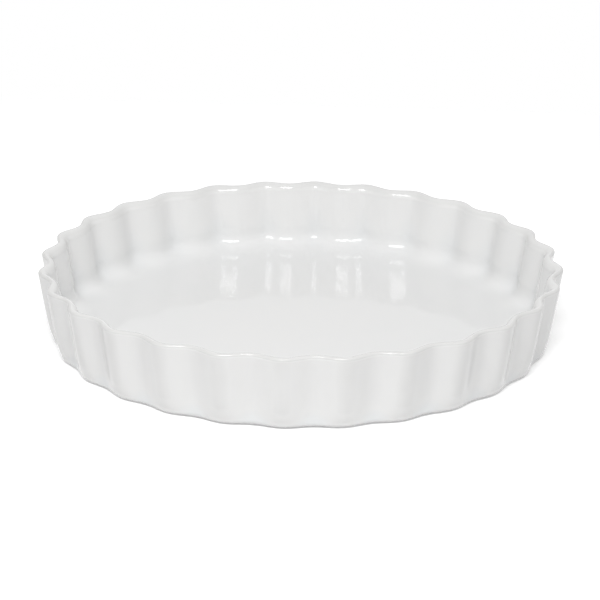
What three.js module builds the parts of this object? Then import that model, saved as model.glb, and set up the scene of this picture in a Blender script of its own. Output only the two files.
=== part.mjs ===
// Round fluted tart dish in white glazed porcelain, in millimetres, +Z up.
// The real dish is pressed and fired as one body. Here it is divided at level planes into
// its foot, base, cove, wall and rim, so that each zone is a solid with its own name.
// The origin is the centre of the foot ring, on the table.
import * as THREE from 'three';

// Outline of the dish.
const RIM_DIAMETER = 280; // across the lobe crests, at the shoulder of the rim
const LOWER_DIAMETER = 267; // the same, carried straight down to the lower edge
const HEIGHT = 40; // table to the top of the rim

// Flutes, pressed right through the wall. They get shallower just above the lower edge.
const FLUTE_COUNT = 28;
const RIM_FLUTE_DEPTH = 4.5; // crest to groove at the rim
const LOWER_FLUTE_DEPTH = 1.8; // crest to groove at the lower edge
const FLUTE_FADE = 4; // height over which most of the difference is made up
const FADE_LINE = 0.6; // share of the depth by which the crests lie outside the line they fade to

// Body.
const WALL_THICKNESS = 5.4;
const BASE_THICKNESS = 3;
const COVE_WIDTH = 10; // inside corner from the floor to the wall, measured at the crests
const COVE_HEIGHT = 9.5;
const FLOOR_FLUTE_DEPTH = 1.5; // what is left of the flutes at the edge of the floor
const LOWER_EDGE_RADIUS = 2; // outside corner between the wall and the underside

// Rim, rounded tightly outside and softly inside.
const SHOULDER_WIDTH = 1.2;
const SHOULDER_HEIGHT = 1.4;
const LIP_DROP = 3.2; // how far the inner rounding starts below the outer one

// Foot ring, unglazed, which the dish stands on.
const FOOT_HEIGHT = 0.8;
const FOOT_WIDTH = 4;
const FOOT_SETBACK = 14; // from the crests of the lower edge
const FOOT_BEVEL = 0.3;

// The most of a wall that its rounded edge may take up.
const ROUNDING_LIMIT = 0.8;

// Facets.
const STEPS_PER_FLUTE = 8;
const STEPS_PER_ARC = 3;
const FOOT_STEPS = 112;

// Levels that the zones share, counted from the table.
const floorLevel = FOOT_HEIGHT + BASE_THICKNESS;
const edgeRadius = Math.min(LOWER_EDGE_RADIUS, ROUNDING_LIMIT * BASE_THICKNESS);
const edgeLevel = FOOT_HEIGHT + edgeRadius;
const coveLevel = floorLevel + COVE_HEIGHT;
const shoulderLevel = HEIGHT - SHOULDER_HEIGHT;
const lipLevel = shoulderLevel - LIP_DROP;

// The wall leans out from the upright by this angle.
const lean = Math.atan2((RIM_DIAMETER - LOWER_DIAMETER) / 2, shoulderLevel - edgeLevel);

// A profile row is [radius at the lobe crests, level, depth of the flutes, inset]. The inset moves
// the row inwards, square to its fluted line.
function outerRow(level) {
  const rise = THREE.MathUtils.inverseLerp(edgeLevel, shoulderLevel, level);
  const radius = THREE.MathUtils.lerp(LOWER_DIAMETER, RIM_DIAMETER, rise) / 2;
  const fade = Math.exp((edgeLevel - level) / FLUTE_FADE);
  const depth = THREE.MathUtils.lerp(RIM_FLUTE_DEPTH, LOWER_FLUTE_DEPTH, fade);
  return [radius - (RIM_FLUTE_DEPTH - depth) * FADE_LINE, level, depth, 0];
}

function innerRow(level) {
  return outerRow(level).with(3, WALL_THICKNESS);
}

// The cove leads from the wall at this row to the edge of the floor.
const coveRow = innerRow(coveLevel);
const floorRow = [coveRow[0] - WALL_THICKNESS - COVE_WIDTH, floorLevel, FLOOR_FLUTE_DEPTH, 0];

// Rows at even steps along a quarter turn or less, with both ends.
function arcRows(sweep, rowAt) {
  return Array.from({ length: STEPS_PER_ARC + 1 }, (_, step) => rowAt((step / STEPS_PER_ARC) * sweep));
}

// Turns a profile about the upright axis, draws each row in at the grooves and then insets it.
function flutedLathe(profile) {
  const crestLine = profile.map(([radius, level]) => new THREE.Vector2(radius, level));
  const geometry = new THREE.LatheGeometry(crestLine, FLUTE_COUNT * STEPS_PER_FLUTE);
  const position = geometry.getAttribute('position');
  for (let index = 0; index < position.count; index += 1) {
    const [crest, , depth, inset] = profile[index % profile.length];
    const phase = (2 * Math.PI * Math.floor(index / profile.length)) / STEPS_PER_FLUTE;
    const angle = phase / FLUTE_COUNT;
    const radius = crest - (depth * (1 - Math.cos(phase))) / 2;
    const slope = (-depth * FLUTE_COUNT * Math.sin(phase)) / 2;
    const share = inset > 0 ? inset / Math.hypot(radius, slope) : 0;
    const out = radius * (1 - share);
    const aside = slope * share;
    position.setX(index, out * Math.sin(angle) + aside * Math.cos(angle));
    position.setZ(index, out * Math.cos(angle) - aside * Math.sin(angle));
  }
  return geometry.rotateX(Math.PI / 2);
}

// Plain round ring with bevelled lower edges.
function footRing() {
  const outer = outerRow(edgeLevel)[0] - FOOT_SETBACK;
  const inner = outer - FOOT_WIDTH;
  const bevel = Math.min(FOOT_BEVEL, ROUNDING_LIMIT * FOOT_HEIGHT, (ROUNDING_LIMIT * FOOT_WIDTH) / 2);
  const section = [
    [inner, FOOT_HEIGHT],
    [inner, bevel],
    [inner + bevel, 0],
    [outer - bevel, 0],
    [outer, bevel],
    [outer, FOOT_HEIGHT],
    [inner, FOOT_HEIGHT],
  ].map(([radius, level]) => new THREE.Vector2(radius, level));
  return new THREE.LatheGeometry(section, FOOT_STEPS).rotateX(Math.PI / 2);
}

// Flat plate with a fluted edge that is rounded below. Its upper side has a row where the open
// floor ends and the cove begins.
function basePlate() {
  const [radius, level, depth] = outerRow(edgeLevel);
  const lowerEdge = arcRows(Math.PI / 2, (turn) => [
    radius,
    level - edgeRadius * Math.cos(turn),
    depth,
    edgeRadius * (1 - Math.sin(turn)),
  ]);
  return flutedLathe([
    [0, FOOT_HEIGHT, 0, 0],
    ...lowerEdge,
    outerRow(floorLevel),
    floorRow,
    [0, floorLevel, 0, 0],
  ]);
}

// Lower wall with a hollow inside corner, in which the flutes fade out towards the floor.
function coveRing() {
  const hollow = arcRows(Math.PI / 2 - lean, (turn) => {
    const reach = Math.cos(lean + turn) / Math.cos(lean);
    const rise = (1 - Math.sin(lean + turn)) / (1 - Math.sin(lean));
    const row = coveRow.map((value, part) => THREE.MathUtils.lerp(floorRow[part], value, reach));
    return row.with(1, floorLevel + COVE_HEIGHT * rise);
  });
  return flutedLathe([
    outerRow(floorLevel),
    outerRow(THREE.MathUtils.lerp(floorLevel, coveLevel, 0.3)),
    outerRow(coveLevel),
    ...hollow,
    outerRow(floorLevel),
  ]);
}

// Leaning wall of even thickness between the cove and the rim.
function flutedWall() {
  return flutedLathe([
    outerRow(coveLevel),
    outerRow(lipLevel),
    innerRow(lipLevel),
    innerRow(coveLevel),
    outerRow(coveLevel),
  ]);
}

// Top of the wall, rounded over from the outer shoulder to the inner lip.
function rimLip() {
  const [radius, , depth] = outerRow(shoulderLevel);
  const lipRow = innerRow(lipLevel);
  const topInset = Math.min(SHOULDER_WIDTH, ROUNDING_LIMIT * WALL_THICKNESS);
  const topRow = [radius, HEIGHT, depth, topInset];
  const shoulder = arcRows(Math.PI / 2, (turn) => [
    radius,
    shoulderLevel + SHOULDER_HEIGHT * Math.sin(turn),
    depth,
    topInset * (1 - Math.cos(turn)),
  ]);
  const lip = arcRows(Math.PI / 2, (turn) => {
    const row = topRow.map((value, part) => THREE.MathUtils.lerp(value, lipRow[part], Math.sin(turn)));
    return row.with(1, lipLevel + (HEIGHT - lipLevel) * Math.cos(turn));
  });
  return flutedLathe([outerRow(lipLevel), ...shoulder, ...lip.slice(1), outerRow(lipLevel)]);
}

const GLAZED_PORCELAIN = { color: 0xf2f2f0, roughness: 0.12, metalness: 0 };
const BARE_PORCELAIN = { color: 0xe6e1d8, roughness: 0.75, metalness: 0 };

function zone(name, geometry, finish) {
  const mesh = new THREE.Mesh(geometry, new THREE.MeshStandardMaterial(finish));
  mesh.name = name;
  return mesh;
}

const dish = new THREE.Group();
dish.name = 'tart_dish';
dish.add(
  zone('foot_ring', footRing(), BARE_PORCELAIN),
  zone('base_plate', basePlate(), GLAZED_PORCELAIN),
  zone('cove_ring', coveRing(), GLAZED_PORCELAIN),
  zone('fluted_wall', flutedWall(), GLAZED_PORCELAIN),
  zone('rim_lip', rimLip(), GLAZED_PORCELAIN),
);

export default dish;
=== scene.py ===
"""Round fluted tart dish in white glazed porcelain, on a plain white table in soft studio light."""
import math

import bpy
import numpy as np
from mathutils import Matrix, Vector


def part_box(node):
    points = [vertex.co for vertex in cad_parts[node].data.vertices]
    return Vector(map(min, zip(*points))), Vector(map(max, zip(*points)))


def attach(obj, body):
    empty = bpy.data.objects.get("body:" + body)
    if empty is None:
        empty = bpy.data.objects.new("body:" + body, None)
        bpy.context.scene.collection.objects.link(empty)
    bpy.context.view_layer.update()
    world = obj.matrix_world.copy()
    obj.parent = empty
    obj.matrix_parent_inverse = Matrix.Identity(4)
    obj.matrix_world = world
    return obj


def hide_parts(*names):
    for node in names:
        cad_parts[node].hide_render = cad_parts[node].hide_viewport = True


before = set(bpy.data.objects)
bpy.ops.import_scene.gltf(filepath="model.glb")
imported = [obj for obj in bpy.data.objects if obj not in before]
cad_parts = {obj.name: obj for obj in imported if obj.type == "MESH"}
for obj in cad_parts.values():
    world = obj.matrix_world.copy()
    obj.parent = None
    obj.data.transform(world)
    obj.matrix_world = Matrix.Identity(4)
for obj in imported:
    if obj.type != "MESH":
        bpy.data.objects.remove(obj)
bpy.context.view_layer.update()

# Glazed body: floor, cove, fluted wall and rim are one piece of porcelain, pressed in a fluted mould,
# dipped in clear glaze and fired white. The glaze rounds every edge, draws thin over the rim and the
# crests, and runs down the flutes to gather at their feet and in the cove. Its tone is darker where it
# is thin and where it gathers, and that darkening is partly painted shade: on the rim's shoulder and
# top, which face the softbox, on the crests, at the flutes' feet and in the cove.
FLUTES = 28
FLUTE_DEPTH = 0.0045  # crest to groove, on the outer face
INNER_FLUTE_DEPTH = 0.0034
LOWER_FLUTE_DEPTH = 0.0022  # at the lower edge
FLOOR_FLUTE_DEPTH = 0.0015  # at the edge of the floor
FLUTE_FADE = 0.004  # height over which the flutes die away above the lower edge
FADE_LINE = 0.6  # where they die away to, from the crests at 0 to the grooves at 1
LOWER_RADIUS = 0.1345  # of the wall's crests, carried straight down to the rounded lower edge
LOWER_EDGE = 0.0026  # rounding between the wall and the underside
WALL_THICKNESS = 0.0054
SHOULDER_WIDTH = 0.0012  # tight outer rounding of the rim
SHOULDER_HEIGHT = 0.0014
COVE_WIDTH = 0.0185  # at the crests, with a long flat run-out on the floor
COVE_HEIGHT = 0.011
COVE_FULLNESS = (0.877, 0.711)  # on the wall's side and on the floor's
CORNER_FULLNESS = (0.56, 0.56)  # near the value that makes a corner a round arc
WIPED_BAND = (0.1115, 0.1205)  # radii of the bare band on the underside, round the foot
WIPED_EDGE = 0.001  # width over which the glaze begins again beside it
COLUMNS = FLUTES * 20  # of points round the dish

under, floor_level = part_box("base_plate")[0].z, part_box("base_plate")[1].z
cove_level = floor_level + COVE_HEIGHT
lip_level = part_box("rim_lip")[0].z
rim_radius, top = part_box("rim_lip")[1].x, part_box("rim_lip")[1].z
edge_level = under + LOWER_EDGE
shoulder_level = top - SHOULDER_HEIGHT
angle = np.arange(COLUMNS) * 2 * np.pi / COLUMNS
groove = (1 - np.cos(FLUTES * angle)) / 2  # 0 on a crest, 1 in a groove


def ring(radius, level):
    """Points of a level ring, one to a column."""
    return np.stack([radius * np.cos(angle), radius * np.sin(angle), np.full(COLUMNS, level)], axis=1)


def wall_row(level, inset=0, full_depth=FLUTE_DEPTH):
    """Points of the wall at one level. Its outer face is a circle that grows in a straight line with
    the level, with a cosine wave that dies away to a line inside its crests; inset moves it inwards,
    square to the face. The wave has its full depth, less a share that dies away as an exponential
    above the lower edge."""
    rise = (level - edge_level) / (shoulder_level - edge_level)
    crest = LOWER_RADIUS + rise * (rim_radius - LOWER_RADIUS)
    fade = np.exp((edge_level - level) / FLUTE_FADE)
    depth = full_depth + fade * (LOWER_FLUTE_DEPTH - full_depth)
    radius = crest - full_depth * FADE_LINE + depth * (FADE_LINE - groove)
    slope = -depth * FLUTES * np.sin(FLUTES * angle) / 2
    aside = np.stack([slope * np.sin(angle), -slope * np.cos(angle), np.zeros(COLUMNS)], axis=1)
    square = (ring(radius, 0) + aside) / np.hypot(radius, slope)[:, None]
    return ring(radius, level) - inset * square


def wall_rows(low, high, steps, *face):
    """Wall rows of one face at even levels."""
    return np.stack([wall_row(level, *face) for level in np.linspace(low, high, steps + 1)])


def at_level(row, level):
    """The same row moved straight up or down to a level."""
    return np.concatenate([row[:, :2], np.full((COLUMNS, 1), level)], axis=1)


def straight(start, end, steps):
    """Rows at even steps in a straight line from one row to another."""
    share = np.linspace(0, 1, steps + 1)[:, None, None]
    return start + share * (end - start)


def soft_corner(start, corner, end, steps, fullness=CORNER_FULLNESS):
    """Rows of a cubic curve that leaves one row towards the corner and comes from the corner to the
    other. Fullness is how far towards the corner the curve is drawn, from its start and from its end."""
    share = np.linspace(0, 1, steps + 1)[:, None, None]
    leaving = start + fullness[0] * (corner - start)
    arriving = end + fullness[1] * (corner - end)
    return (
        (1 - share) ** 3 * start
        + 3 * (1 - share) ** 2 * share * leaving
        + 3 * (1 - share) * share**2 * arriving
        + share**3 * end
    )


# Rows where one zone of the body passes into the next.
inner_face = (WALL_THICKNESS, INNER_FLUTE_DEPTH)
wiped_radii = (WIPED_BAND[0] - WIPED_EDGE, *WIPED_BAND, WIPED_BAND[1] + WIPED_EDGE)
wiped = [ring(radius, under) for radius in wiped_radii]
under_edge = at_level(wall_row(edge_level, LOWER_EDGE), under)
lower_wall = wall_row(edge_level)
shoulder = wall_row(shoulder_level)
rim_top = at_level(wall_row(shoulder_level, SHOULDER_WIDTH), top)
lip = wall_row(lip_level, *inner_face)
cove = wall_row(cove_level, *inner_face)
floor_edge = ring(np.hypot(*cove[0, :2]) - COVE_WIDTH - FLOOR_FLUTE_DEPTH * groove, floor_level)
lip_rows = soft_corner(rim_top, at_level(lip, top), lip, 18)
cove_rows = soft_corner(cove, at_level(cove, floor_level), floor_edge, 32, COVE_FULLNESS)

# Depth of the glaze from 0 bare to 1 thick, which also sets its tone. On the flutes it differs between
# crest and groove. The thin coats on the shoulder, the rim top and the crests and the thick ones at the
# flutes' feet and in the cove are partly painted shade.
BARE = 0
EVEN_COAT = 0.5
# Painted shade: the shoulder, the rim top and the turn of the lip get thin coats, which darken the parts
# of the rim that face the light.
SHOULDER_COAT_AND_SHADE = 0.05
RIM_TOP_COAT_AND_SHADE = 0.28
LIP_TURN_COAT_AND_SHADE = 0.17
LIP_TURN = 10  # row at which the top of the rim turns down inside
FLOOR_EDGE_COAT_AND_SHADE, FLOOR_COAT = 0.8, 0.6
# The band up to FLUTE_FOOT is darker in the grooves: partly gathered glaze, partly painted shade near
# the lower edge.
FLUTE_FOOT = 0.007  # height above the lower edge up to which running glaze gathers
gathering_level = edge_level + FLUTE_FOOT
# Coats that are partly painted shade: thicker and darker in the grooves at the feet, thinner and darker
# on the outer crests, thicker and darker in the cove.
foot_coat_and_shade = EVEN_COAT + 0.6 * groove
outer_coat_and_shade = 0.27 + 0.35 * groove
lip_coat = EVEN_COAT - 0.15 * groove
cove_coat_and_shade = 0.9 - 0.2 * groove

# Each zone is its rows, and the coat on the first and the last of them.
zones = [
    (straight(ring(0, under), wiped[0], 8), EVEN_COAT, EVEN_COAT),
    (straight(wiped[0], wiped[1], 1), EVEN_COAT, BARE),
    (straight(wiped[1], wiped[2], 1), BARE, BARE),
    (straight(wiped[2], wiped[3], 1), BARE, EVEN_COAT),
    (straight(wiped[3], under_edge, 4), EVEN_COAT, EVEN_COAT),
    (soft_corner(under_edge, at_level(lower_wall, under), lower_wall, 8), EVEN_COAT, foot_coat_and_shade),
    (wall_rows(edge_level, gathering_level, 10), foot_coat_and_shade, outer_coat_and_shade),
    (wall_rows(gathering_level, shoulder_level, 28), outer_coat_and_shade, outer_coat_and_shade),
    (soft_corner(shoulder, at_level(shoulder, top), rim_top, 10), SHOULDER_COAT_AND_SHADE, SHOULDER_COAT_AND_SHADE),
    (lip_rows[:LIP_TURN + 1], RIM_TOP_COAT_AND_SHADE, LIP_TURN_COAT_AND_SHADE),
    (lip_rows[LIP_TURN:], LIP_TURN_COAT_AND_SHADE, lip_coat),
    (wall_rows(lip_level, cove_level, 18, *inner_face), lip_coat, cove_coat_and_shade),
    (cove_rows, cove_coat_and_shade, FLOOR_EDGE_COAT_AND_SHADE),
    (straight(floor_edge, ring(0, floor_level), 24), FLOOR_EDGE_COAT_AND_SHADE, FLOOR_COAT),
]
rows = np.concatenate([zones[0][0]] + [zone[0][1:] for zone in zones[1:]])
coats = [
    np.linspace(np.full(COLUMNS, first), np.full(COLUMNS, last), len(points))
    for points, first, last in zones
]
glaze_depth_and_shade = np.concatenate([coats[0]] + [coat[1:] for coat in coats[1:]])

UNROUNDNESS = 0.0003  # how far the firing has pulled the circle out of true
OVAL_PHASE, THREE_CORNERED_PHASE = 0.6, 2
FLOOR_SAG = 0.0001  # in the middle


def fired(points):
    """Points as the kiln leaves them. The circle shrinks by an oval and a three-cornered wave round the
    axis, in step with the level, and the floor sinks as a parabola that ends over the wiped band."""
    turn = np.arctan2(points[..., 1], points[..., 0])
    pull = (2 + np.cos(2 * turn + OVAL_PHASE) + np.cos(3 * turn + THREE_CORNERED_PHASE)) / 4
    shrink = 1 - UNROUNDNESS * pull * np.clip(points[..., 2] / top, 0, 1) / rim_radius
    distance = np.hypot(points[..., 0], points[..., 1])
    on_top = points[..., 2] > (under + floor_level) / 2
    sag = FLOOR_SAG * np.clip(1 - (distance / WIPED_BAND[0]) ** 2, 0, 1) * on_top
    shrunk = points * np.stack([shrink, shrink, np.ones_like(shrink)], axis=-1)
    return shrunk - sag[..., None] * (0, 0, 1)


def turned_mesh(name, rows, coat):
    """Mesh of rows of points: squares join neighbouring rows, and the first and last rows close in one
    point each. The coat, which also carries painted shade, is kept on the points."""
    grid = rows[1:-1]
    points = np.concatenate([grid.reshape(-1, 3), rows[0, :1], rows[-1, :1]])
    index = np.arange(grid.shape[0] * COLUMNS).reshape(-1, COLUMNS)
    beside = np.roll(index, -1, axis=1)
    squares = np.stack([index[:-1], beside[:-1], beside[1:], index[1:]], axis=2).reshape(-1, 4)
    first, last = np.full(COLUMNS, len(points) - 2), np.full(COLUMNS, len(points) - 1)
    fans = np.concatenate([
        np.stack([first, beside[0], index[0]], axis=1),
        np.stack([last, index[-1], beside[-1]], axis=1),
    ])
    mesh = bpy.data.meshes.new(name)
    mesh.from_pydata(points, [], squares.tolist() + fans.tolist())
    mesh.shade_smooth()
    depth = mesh.attributes.new("glaze_depth_and_shade", "FLOAT", "POINT")
    depth.data.foreach_set("value", np.concatenate([coat[1:-1].ravel(), coat[0, :1], coat[-1, :1]]))
    return mesh


body = bpy.data.objects.new("glazed_body", turned_mesh("glazed_body", fired(rows), glaze_depth_and_shade))
bpy.context.collection.objects.link(body)

PORCELAIN_IOR = 1.5
WIPED_PORCELAIN = (0.77, 0.745, 0.70, 1)
# Thin and gathered glaze are darker than even glaze. The thin tone is partly painted shade on the rim
# and crests, and the gathered tone partly painted shade at the flutes' feet and in the cove.
THIN_GLAZE_AND_SHADE = (0.702, 0.699, 0.690, 1)
EVEN_GLAZE = (0.824, 0.823, 0.818, 1)
GATHERED_GLAZE_AND_SHADE = (0.780, 0.792, 0.797, 1)
SPECK = (0.52, 0.47, 0.40, 1)
BARE_TO_CLEAR = (0.005, 0.04)  # depths of the glaze over which one look passes into the next
THIN_TO_EVEN = (0.15, 0.45)
EVEN_TO_THICK = (0.75, 1.15)
FLOW_PATCHES, FLOW_SHARE = 35, 0.2  # uneven depth; patches, cells and waves are counted to the metre
DOT_CELLS = 45  # each with room for one speck or pinhole
DOT_EDGE = (0.006, 0.016)  # radii between which it fades, as shares of a cell
SPECK_CHOICE, SPECK_STRENGTH = (0.80, 0.82), 0.5  # cells that draw a higher number have a speck
PINHOLE_CHOICE = (0.70, 0.72)
POLISH_PATCHES, POLISH_ROUGHNESS = 120, (0.01, 0.03)
PINHOLE_ROUGHNESS = 0.3
WIPED_ROUGHNESS = 0.7
SLOW_WAVES, FINE_WAVES, FINE_SHARE = 30, 320, 0.04
RIPPLE_HEIGHT = 0.000004
PINHOLE_DEPTH = 12  # times the height of the ripple
CLOUD_SPAN = (0.3, 0.7)  # between which most of a soft noise lies

glaze = bpy.data.materials.new("clear_glaze_on_white_porcelain")
glaze.use_nodes = True
tree = glaze.node_tree
shader = tree.nodes["Principled BSDF"]
shader.inputs["IOR"].default_value = PORCELAIN_IOR
place = tree.nodes.new("ShaderNodeTexCoord").outputs["Object"]


def clouds(tree, place, scale, detail):
    """Soft noise of a given number of patches to the metre."""
    node = tree.nodes.new("ShaderNodeTexNoise")
    node.inputs["Scale"].default_value = scale
    node.inputs["Detail"].default_value = detail
    tree.links.new(place, node.inputs["Vector"])
    return node.outputs["Fac"]


def sums(tree, operation, first, second, third=None):
    """One step of arithmetic on sockets and numbers."""
    node = tree.nodes.new("ShaderNodeMath")
    node.operation = operation
    for socket, value in zip(node.inputs, (first, second, third)):
        if isinstance(value, bpy.types.NodeSocket):
            tree.links.new(value, socket)
        elif value is not None:
            socket.default_value = value
    return node.outputs[0]


def graded(tree, value, span, results=(0, 1)):
    """Straight change from one result to the other as the value goes through a span, held outside it."""
    node = tree.nodes.new("ShaderNodeMapRange")
    tree.links.new(value, node.inputs["Value"])
    node.inputs["From Min"].default_value, node.inputs["From Max"].default_value = span
    node.inputs["To Min"].default_value, node.inputs["To Max"].default_value = results
    return node.outputs["Result"]


def blended(tree, share, first, second):
    """Colour between two colours or sockets by a share."""
    node = tree.nodes.new("ShaderNodeMix")
    node.data_type = "RGBA"
    tree.links.new(share, node.inputs["Factor"])
    for socket, colour in ((node.inputs[6], first), (node.inputs[7], second)):
        if isinstance(colour, bpy.types.NodeSocket):
            tree.links.new(colour, socket)
        else:
            socket.default_value = colour
    return node.outputs[2]


coat = tree.nodes.new("ShaderNodeAttribute")
coat.attribute_name = "glaze_depth_and_shade"
flow = clouds(tree, place, FLOW_PATCHES, detail=3)
# The glaze's tone follows its depth, which carries painted shade on the rim, crests, flutes' feet and
# cove as well as the glaze's own thin and thick tones.
coat_and_shade_depth = sums(tree, "MULTIPLY_ADD", flow, FLOW_SHARE, coat.outputs["Fac"])
clear = graded(tree, coat.outputs["Fac"], BARE_TO_CLEAR)
thin_and_shaded = blended(tree, graded(tree, coat_and_shade_depth, THIN_TO_EVEN), THIN_GLAZE_AND_SHADE, EVEN_GLAZE)
glaze_tone_and_shade = blended(tree, graded(tree, coat_and_shade_depth, EVEN_TO_THICK), thin_and_shaded, GATHERED_GLAZE_AND_SHADE)

cells = tree.nodes.new("ShaderNodeTexVoronoi")
cells.inputs["Scale"].default_value = DOT_CELLS
tree.links.new(place, cells.inputs["Vector"])
lot = tree.nodes.new("ShaderNodeSeparateColor")
tree.links.new(cells.outputs["Color"], lot.inputs["Color"])
dot = graded(tree, cells.outputs["Distance"], DOT_EDGE, (1, 0))
speck_cell = graded(tree, lot.outputs["Red"], SPECK_CHOICE, (0, SPECK_STRENGTH))
speck = sums(tree, "MULTIPLY", dot, speck_cell)
pinhole = sums(tree, "MULTIPLY", dot, graded(tree, lot.outputs["Green"], PINHOLE_CHOICE))
specked = blended(tree, speck, glaze_tone_and_shade, SPECK)
tree.links.new(blended(tree, clear, WIPED_PORCELAIN, specked), shader.inputs["Base Color"])

polish = graded(tree, clouds(tree, place, POLISH_PATCHES, detail=2), CLOUD_SPAN, POLISH_ROUGHNESS)
pitted = sums(tree, "MULTIPLY_ADD", pinhole, PINHOLE_ROUGHNESS, polish)
rough = tree.nodes.new("ShaderNodeMix")
rough.inputs["A"].default_value = WIPED_ROUGHNESS
tree.links.new(clear, rough.inputs["Factor"])
tree.links.new(pitted, rough.inputs["B"])
tree.links.new(rough.outputs["Result"], shader.inputs["Roughness"])

fine_waves, slow_waves = (clouds(tree, place, waves, detail=1) for waves in (FINE_WAVES, SLOW_WAVES))
ripple = sums(tree, "MULTIPLY_ADD", fine_waves, FINE_SHARE, slow_waves)
bump = tree.nodes.new("ShaderNodeBump")
bump.inputs["Strength"].default_value = 1
bump.inputs["Distance"].default_value = RIPPLE_HEIGHT
tree.links.new(sums(tree, "MULTIPLY_ADD", pinhole, -PINHOLE_DEPTH, ripple), bump.inputs["Height"])
tree.links.new(bump.outputs["Normal"], shader.inputs["Normal"])

body.data.materials.append(glaze)
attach(body, "root")
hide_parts("base_plate", "cove_ring", "fluted_wall", "rim_lip")

# Foot ring: what the dish stands on, turned on the underside in the same paste. It is wiped free of
# glaze before firing, so that it doesn't stick to the kiln shelf, and ground flat afterwards.
FOOT_WIDTH = 0.004
FOOT_POWER = 0.4  # 1 gives an oval section, and towards 0 it gets square
FOOT_ROOT = 0.0001  # how far the ring reaches up into the body
SECTION_STEPS = 32

foot_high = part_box("foot_ring")[1]
half_width, half_height = FOOT_WIDTH / 2, (foot_high.z + FOOT_ROOT) / 2
section = np.arange(SECTION_STEPS) * 2 * np.pi / SECTION_STEPS


def softly_square(wave):
    """A sine or cosine wave raised to a low power with its sign kept, which fills out its corners."""
    return np.sign(wave) * np.abs(wave) ** FOOT_POWER


foot_radius = foot_high.x - half_width + half_width * softly_square(np.cos(section))
foot_level = half_height + half_height * softly_square(np.sin(section))
foot_grid = np.stack([ring(radius, level) for radius, level in zip(foot_radius, foot_level)])
index = np.arange(SECTION_STEPS * COLUMNS).reshape(SECTION_STEPS, COLUMNS)
above = np.roll(index, -1, axis=0)
squares = np.stack([index, np.roll(index, -1, axis=1), np.roll(above, -1, axis=1), above], axis=2)
foot_mesh = bpy.data.meshes.new("foot_ring_bare")
foot_mesh.from_pydata(foot_grid.reshape(-1, 3), [], squares.reshape(-1, 4).tolist())
foot_mesh.shade_smooth()
foot = bpy.data.objects.new("foot_ring_bare", foot_mesh)
bpy.context.collection.objects.link(foot)

PASTE = (0.79, 0.765, 0.72, 1)
DARKER_PASTE = (0.7347, 0.71145, 0.6696, 1)
SCUFF = (0.56, 0.54, 0.52, 1)
SCUFF_PATCHES, SCUFF_EDGE, SCUFF_STRENGTH = 60, (0.56, 0.68), 0.6
GRAINS = 1500  # to the metre, as are the marks
GRINDING_MARKS = 9000  # rings about the axis
GROUND_ROUGHNESS = (0.6, 0.85)
GRAIN_HEIGHT = 0.00004

bare = bpy.data.materials.new("bare_ground_porcelain")
bare.use_nodes = True
tree = bare.node_tree
shader = tree.nodes["Principled BSDF"]
shader.inputs["IOR"].default_value = PORCELAIN_IOR
place = tree.nodes.new("ShaderNodeTexCoord").outputs["Object"]
flat = tree.nodes.new("ShaderNodeVectorMath")
flat.operation = "MULTIPLY"
flat.inputs[1].default_value = (1, 1, 0)
tree.links.new(place, flat.inputs[0])
distance = tree.nodes.new("ShaderNodeVectorMath")
distance.operation = "LENGTH"
tree.links.new(flat.outputs["Vector"], distance.inputs[0])
marks = tree.nodes.new("ShaderNodeTexNoise")
marks.noise_dimensions = "1D"
marks.inputs["Scale"].default_value = GRINDING_MARKS
tree.links.new(distance.outputs["Value"], marks.inputs["W"])
grain = clouds(tree, place, GRAINS, detail=4)
scuffs = graded(tree, clouds(tree, place, SCUFF_PATCHES, detail=4), SCUFF_EDGE, (0, SCUFF_STRENGTH))
toned = blended(tree, graded(tree, grain, CLOUD_SPAN), DARKER_PASTE, PASTE)
tree.links.new(blended(tree, scuffs, toned, SCUFF), shader.inputs["Base Color"])
ground = graded(tree, marks.outputs["Fac"], CLOUD_SPAN, GROUND_ROUGHNESS)
tree.links.new(ground, shader.inputs["Roughness"])
bump = tree.nodes.new("ShaderNodeBump")
bump.inputs["Strength"].default_value = 1
bump.inputs["Distance"].default_value = GRAIN_HEIGHT
tree.links.new(sums(tree, "ADD", grain, marks.outputs["Fac"]), bump.inputs["Height"])
tree.links.new(bump.outputs["Normal"], shader.inputs["Normal"])

foot.data.materials.append(bare)
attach(foot, "root")
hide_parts("foot_ring")

# Table: a plain white board under the dish. Seen by the camera it is as white as the room past its
# edges, and it still takes the dish's shadow.
TABLE_REACH = 0.45  # from its middle to each edge
TABLE_GREY = (0.75, 0.75, 0.75, 1)  # as the dish is lit by it
TABLE_WHITE = (1, 1, 1, 1)  # as it is seen
TABLE_GLOW = 0.28


def seen_or_mirrored(tree):
    """1 on rays from the camera, off a glossy surface or through a clear one, 0 on the rest."""
    path = tree.nodes.new("ShaderNodeLightPath")
    direct = sums(tree, "MAXIMUM", path.outputs["Is Camera Ray"], path.outputs["Is Glossy Ray"])
    return sums(tree, "MAXIMUM", direct, path.outputs["Is Transmission Ray"])


table = bpy.data.objects.new("table", bpy.data.meshes.new("table"))
corners = TABLE_REACH * np.array([(-1, -1, 0), (1, -1, 0), (1, 1, 0), (-1, 1, 0)])
table.data.from_pydata(corners, [], [(0, 1, 2, 3)])
bpy.context.collection.objects.link(table)
white = bpy.data.materials.new("white_table")
white.use_nodes = True
tree = white.node_tree
shader = tree.nodes["Principled BSDF"]
shader.inputs["Roughness"].default_value = 1
shader.inputs["Specular IOR Level"].default_value = 0
shader.inputs["Emission Color"].default_value = TABLE_WHITE
seen = seen_or_mirrored(tree)
tree.links.new(blended(tree, seen, TABLE_GREY, TABLE_WHITE), shader.inputs["Base Color"])
tree.links.new(sums(tree, "MULTIPLY", seen, TABLE_GLOW), shader.inputs["Emission Strength"])
table.data.materials.append(white)

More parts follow.
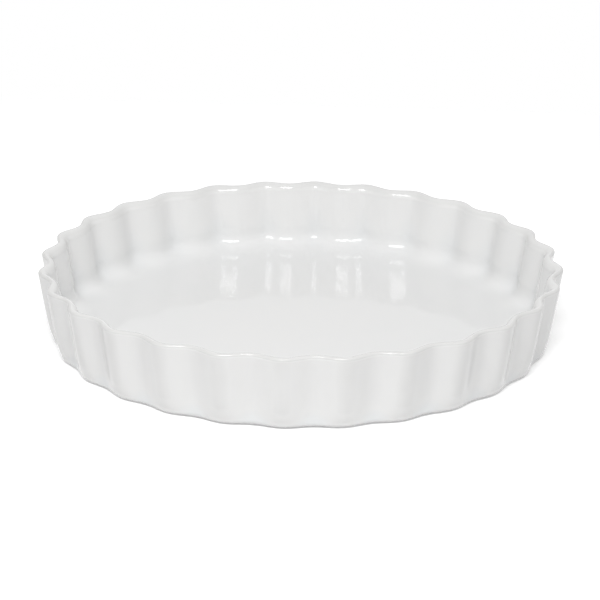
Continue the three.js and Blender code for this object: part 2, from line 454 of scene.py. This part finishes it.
# Studio light: a softbox in front of the dish and above it, in a pale room that is a little brighter
# on its right. The camera and the glaze's reflections see the room as plain white.
ROOM_LIGHT = 0.51
ROOM_SLANT = (0.05, 0, 0)  # change of the room's light towards its right side
ROOM_WHITE = 1  # strength at which it is seen as white
SOFTBOX_AZIMUTH = math.radians(-3.5)
SOFTBOX_ELEVATION = math.radians(50)
SOFTBOX_DISTANCE = 1.3
SOFTBOX_SIZE = (0.72, 0.42)
SOFTBOX_POWER = 9.8

world = bpy.data.worlds.new("pale_room")
bpy.context.scene.world = world
world.use_nodes = True
tree = world.node_tree
background = tree.nodes["Background"]
background.inputs["Color"].default_value = (1, 1, 1, 1)
slant = tree.nodes.new("ShaderNodeVectorMath")
slant.operation = "DOT_PRODUCT"
slant.inputs[1].default_value = ROOM_SLANT
tree.links.new(tree.nodes.new("ShaderNodeTexCoord").outputs["Generated"], slant.inputs[0])
strength = tree.nodes.new("ShaderNodeMix")
tree.links.new(sums(tree, "ADD", slant.outputs["Value"], ROOM_LIGHT), strength.inputs["A"])
strength.inputs["B"].default_value = ROOM_WHITE
tree.links.new(seen_or_mirrored(tree), strength.inputs["Factor"])
tree.links.new(strength.outputs["Result"], background.inputs["Strength"])

softbox = bpy.data.lights.new("softbox", "AREA")
softbox.shape = "RECTANGLE"
softbox.size, softbox.size_y = SOFTBOX_SIZE
softbox.energy = SOFTBOX_POWER
softbox_object = bpy.data.objects.new("softbox", softbox)


def heading(azimuth, elevation):
    """Unit vector towards a point round the dish, from the sines and cosines of its two angles. Azimuth
    0 is the front, and grows to the right."""
    return Vector((
        math.sin(azimuth) * math.cos(elevation),
        -math.cos(azimuth) * math.cos(elevation),
        math.sin(elevation),
    ))


softbox_way = heading(SOFTBOX_AZIMUTH, SOFTBOX_ELEVATION)
softbox_object.location = softbox_way * SOFTBOX_DISTANCE
softbox_object.rotation_euler = softbox_way.to_track_quat("Z", "Y").to_euler()
softbox_object.visible_camera = False
bpy.context.collection.objects.link(softbox_object)

# Camera: a little over a metre away, slightly to the right of the middle, looking down on the dish.
# It is tipped sideways by a fraction of a degree.
CAMERA_AZIMUTH = math.radians(3.5)
CAMERA_ELEVATION = math.radians(20.88)
CAMERA_DISTANCE = 1.12
CAMERA_ROLL = math.radians(0.6)
CAMERA_LENS = 124.8  # in millimetres
DISH_OFFSET = Vector((0.0003, 0.0029, 0))  # of the dish's middle, right of and above the picture's

camera = bpy.data.objects.new("camera", bpy.data.cameras.new("camera"))
camera.data.lens = CAMERA_LENS
back = heading(CAMERA_AZIMUTH, CAMERA_ELEVATION)
upright = back.to_track_quat("Z", "Y").to_matrix().to_4x4() @ Matrix.Rotation(CAMERA_ROLL, 4, "Z")
aim = Vector((0, 0, top / 2)) - upright.to_3x3() @ DISH_OFFSET
camera.matrix_world = Matrix.Translation(aim + back * CAMERA_DISTANCE) @ upright
bpy.context.collection.objects.link(camera)
bpy.context.scene.camera = camera
bpy.context.scene.view_settings.view_transform = "Standard"
